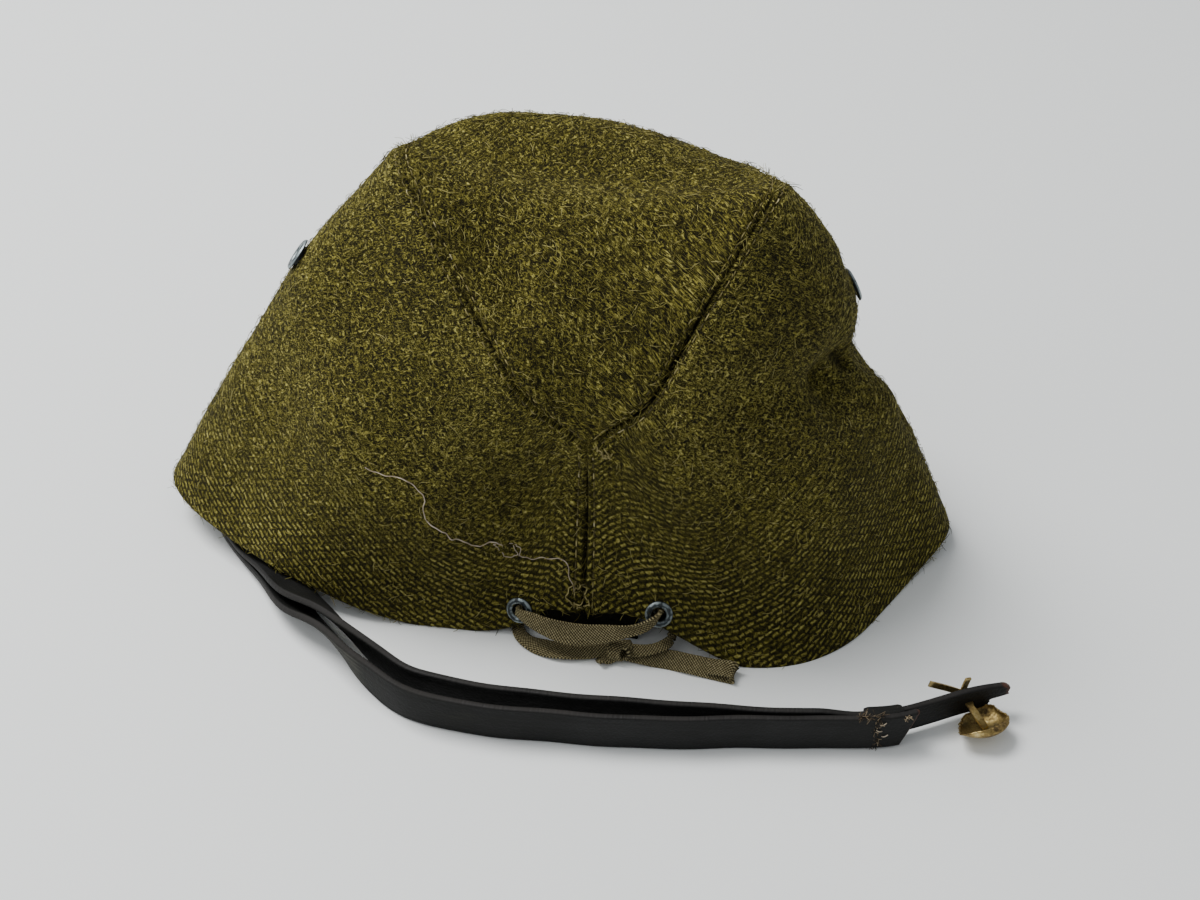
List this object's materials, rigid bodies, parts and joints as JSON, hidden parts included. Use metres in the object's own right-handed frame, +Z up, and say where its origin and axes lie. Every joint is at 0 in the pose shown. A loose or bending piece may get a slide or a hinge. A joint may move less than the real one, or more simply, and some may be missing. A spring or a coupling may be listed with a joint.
{
  "type": "field cap",
  "caption": "Soft olive wool field cap with a short peak, metal vent eyelets, a laced notch at the back and a torn leather chin strap lying on the table",
  "frame": {"origin": "centre of the bounding box in plan, at table height", "axes": "+X is the wearer's right, +Y the front, where the peak is, and +Z up"},
  "size_m": [0.232, 0.1922, 0.1181],
  "materials": {
    "wool": "coarse napped wool twill, matte",
    "painted_eyelet": "dark blue-green paint, worn to grey metal on the rims",
    "strap_leather": "black leather, slight sheen, streaky wear along its length",
    "button_brass": "tarnished thin sheet brass",
    "lace_tape": "flat woven cotton tape, matte"
  },
  "bodies": {
    "root": {"left_panel": "wool", "right_panel": "wool", "top_panel": "wool", "peak": "wool", "vent_eyelet_left": "painted_eyelet", "vent_eyelet_right": "painted_eyelet", "lace_eyelet_left": "painted_eyelet", "lace_eyelet_right": "painted_eyelet", "strap_outer": "strap_leather", "strap_inner": "strap_leather", "button_left": "button_brass", "button_right": "button_brass", "lace": "lace_tape"}
  },
  "joints": []
}
